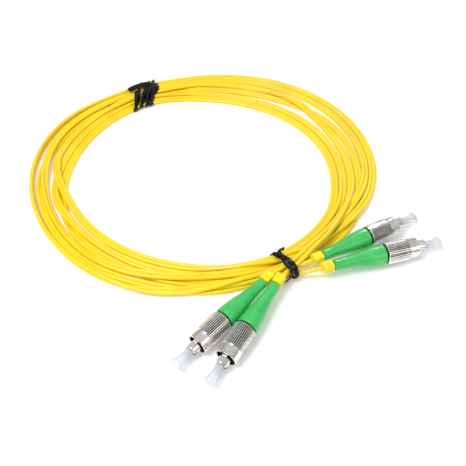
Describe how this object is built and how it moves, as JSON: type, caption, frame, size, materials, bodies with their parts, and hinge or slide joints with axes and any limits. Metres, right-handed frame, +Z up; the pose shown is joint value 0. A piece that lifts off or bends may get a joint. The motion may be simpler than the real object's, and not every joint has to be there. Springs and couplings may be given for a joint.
{
  "type": "fiber optic patch cord",
  "caption": "Duplex fibre optic patch cord wound in a loose tied ring, with threaded round connectors, strain relief boots and dust caps at its ends.",
  "frame": {"origin": "on the surface the cord lies on, under the middle of the box round the four connectors", "axes": "+Z up from the surface; +X along the row of connector ends, from the pair that points forwards and left to the pair that points right; +Y from the connectors towards the wound ring"},
  "size_m": [0.2029, 0.2101, 0.0163],
  "materials": {
    "jacket_yellow": "satin PVC jacket",
    "marker_yellow": "glossy moulded plastic",
    "boot_green": "satin moulded elastomer",
    "nickel_plate": "nickel-plated brass",
    "crimp_metal": "plain turned brass",
    "zirconia": "polished",
    "spring_steel": "drawn wire",
    "fibre_buffer": "satin",
    "cap_plastic": "translucent moulded polyethylene",
    "tie_black": "glossy strap"
  },
  "bodies": {
    "cord": {"front_body_a1": "nickel_plate", "rear_body_a1": "nickel_plate", "crimp_sleeve_a1": "crimp_metal", "boot_a1": "boot_green", "marker_sleeve_a1": "marker_yellow", "jacket_tail_a1": "jacket_yellow", "jacket_end_a1": "jacket_yellow", "ferrule_spring_a1": "spring_steel", "front_body_a2": "nickel_plate", "rear_body_a2": "nickel_plate", "crimp_sleeve_a2": "crimp_metal", "boot_a2": "boot_green", "marker_sleeve_a2": "marker_yellow", "jacket_tail_a2": "jacket_yellow", "jacket_end_a2": "jacket_yellow", "ferrule_spring_a2": "spring_steel", "front_body_b1": "nickel_plate", "rear_body_b1": "nickel_plate", "crimp_sleeve_b1": "crimp_metal", "boot_b1": "boot_green", "marker_sleeve_b1": "marker_yellow", "jacket_tail_b1": "jacket_yellow", "jacket_end_b1": "jacket_yellow", "ferrule_spring_b1": "spring_steel", "front_body_b2": "nickel_plate", "rear_body_b2": "nickel_plate", "crimp_sleeve_b2": "crimp_metal", "boot_b2": "boot_green", "marker_sleeve_b2": "marker_yellow", "jacket_tail_b2": "jacket_yellow", "jacket_end_b2": "jacket_yellow", "ferrule_spring_b2": "spring_steel", "cord_coil": "jacket_yellow", "tie_front": "tie_black", "tie_back": "tie_black"},
    "nut_a1": {"coupling_nut_a1": "nickel_plate"},
    "ferrule_a1": {"ferrule_a1": "zirconia", "ferrule_flange_a1": "nickel_plate", "buffered_fibre_a1": "fibre_buffer"},
    "cap_a1": {"dust_cap_a1": "cap_plastic"},
    "nut_a2": {"coupling_nut_a2": "nickel_plate"},
    "ferrule_a2": {"ferrule_a2": "zirconia", "ferrule_flange_a2": "nickel_plate", "buffered_fibre_a2": "fibre_buffer"},
    "cap_a2": {"dust_cap_a2": "cap_plastic"},
    "nut_b1": {"coupling_nut_b1": "nickel_plate"},
    "ferrule_b1": {"ferrule_b1": "zirconia", "ferrule_flange_b1": "nickel_plate", "buffered_fibre_b1": "fibre_buffer"},
    "cap_b1": {"dust_cap_b1": "cap_plastic"},
    "nut_b2": {"coupling_nut_b2": "nickel_plate"},
    "ferrule_b2": {"ferrule_b2": "zirconia", "ferrule_flange_b2": "nickel_plate", "buffered_fibre_b2": "fibre_buffer"},
    "cap_b2": {"dust_cap_b2": "cap_plastic"}
  },
  "joints": [
    {"name": "nut_spin_a1", "type": "hinge", "parent": "cord", "child": "nut_a1", "pos_m": [-0.04487, -0.02089, 0.00525], "axis": [-0.6772, -0.7339, -0.0523], "continuous": true},
    {"name": "ferrule_float_a1", "type": "slide", "parent": "cord", "child": "ferrule_a1", "axis": [0.6772, 0.7339, 0.0523], "range_m": [0, 0.0015], "stiffness_N_per_m": 2000, "deforming": ["ferrule_spring_a1"]},
    {"name": "cap_pull_a1", "type": "slide", "parent": "ferrule_a1", "child": "cap_a1", "axis": [-0.6772, -0.7339, -0.0523], "range_m": [0, 0.012]},
    {"name": "nut_spin_a2", "type": "hinge", "parent": "cord", "child": "nut_a2", "pos_m": [-0.0344, -0.02615, 0.00525], "axis": [-0.5218, -0.8515, -0.0523], "continuous": true},
    {"name": "ferrule_float_a2", "type": "slide", "parent": "cord", "child": "ferrule_a2", "axis": [0.5218, 0.8515, 0.0523], "range_m": [0, 0.0015], "stiffness_N_per_m": 2000, "deforming": ["ferrule_spring_a2"]},
    {"name": "cap_pull_a2", "type": "slide", "parent": "ferrule_a2", "child": "cap_a2", "axis": [-0.5218, -0.8515, -0.0523], "range_m": [0, 0.012]},
    {"name": "nut_spin_b1", "type": "hinge", "parent": "cord", "child": "nut_b1", "pos_m": [0.03271, 0.03364, 0.00525], "axis": [0.8692, 0.4917, -0.0523], "continuous": true},
    {"name": "ferrule_float_b1", "type": "slide", "parent": "cord", "child": "ferrule_b1", "axis": [-0.8692, -0.4917, 0.0523], "range_m": [0, 0.0015], "stiffness_N_per_m": 2000, "deforming": ["ferrule_spring_b1"]},
    {"name": "cap_pull_b1", "type": "slide", "parent": "ferrule_b1", "child": "cap_b1", "axis": [0.8692, 0.4917, -0.0523], "range_m": [0, 0.012]},
    {"name": "nut_spin_b2", "type": "hinge", "parent": "cord", "child": "nut_b2", "pos_m": [0.03976, 0.02196, 0.00525], "axis": [0.9519, 0.302, -0.0523], "continuous": true},
    {"name": "ferrule_float_b2", "type": "slide", "parent": "cord", "child": "ferrule_b2", "axis": [-0.9519, -0.302, 0.0523], "range_m": [0, 0.0015], "stiffness_N_per_m": 2000, "deforming": ["ferrule_spring_b2"]},
    {"name": "cap_pull_b2", "type": "slide", "parent": "ferrule_b2", "child": "cap_b2", "axis": [0.9519, 0.302, -0.0523], "range_m": [0, 0.012]}
  ]
}
